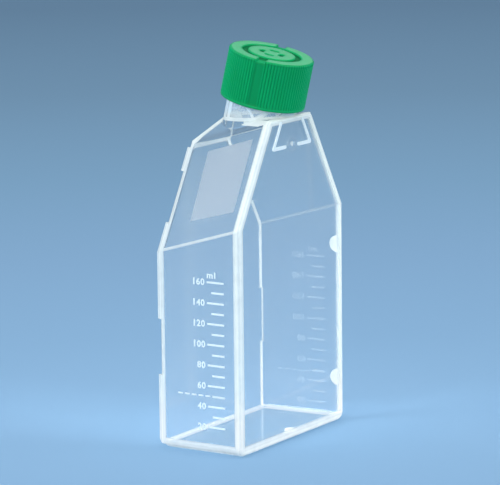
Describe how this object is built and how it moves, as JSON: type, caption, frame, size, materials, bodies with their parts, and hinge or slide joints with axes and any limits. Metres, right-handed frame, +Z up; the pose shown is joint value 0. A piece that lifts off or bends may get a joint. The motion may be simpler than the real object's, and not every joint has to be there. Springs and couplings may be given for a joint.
{
  "type": "cell culture flask",
  "caption": "Clear upright cell culture flask with a flat growth face, slanted shoulders, a canted neck, a welded cover and a vented screw cap.",
  "frame": {"origin": "middle of the base end that the flask stands on", "axes": "+Z up to the neck, +X across the broad faces, -Y out of the cover face, +Y out of the growth face"},
  "size_m": [0.0776, 0.0458, 0.1517],
  "materials": {
    "clear_body": "clear glossy polystyrene",
    "clear_cover": "clear glossy polystyrene",
    "green_cap": "moulded green polyethylene, fine vertical ribs",
    "membrane": "white porous membrane"
  },
  "bodies": {
    "flask": {"flask_body": "clear_body", "cover_plate": "clear_cover"},
    "vent": {"filter_membrane": "membrane"},
    "cap": {"screw_cap": "green_cap"}
  },
  "joints": [
    {"name": "cap_lift", "type": "slide", "parent": "flask", "child": "vent", "axis": [0, -0.2334, 0.9724], "range_m": [0, 0.005]},
    {"name": "cap_turn", "type": "hinge", "parent": "vent", "child": "cap", "pos_m": [0, -0.00985, 0.14636], "axis": [0, -0.2334, 0.9724], "range_deg": [0, 450]}
  ],
  "couplings": [
    {"joint": "cap_lift", "follows": "cap_turn", "m_per_rad": 0.00063662}
  ]
}
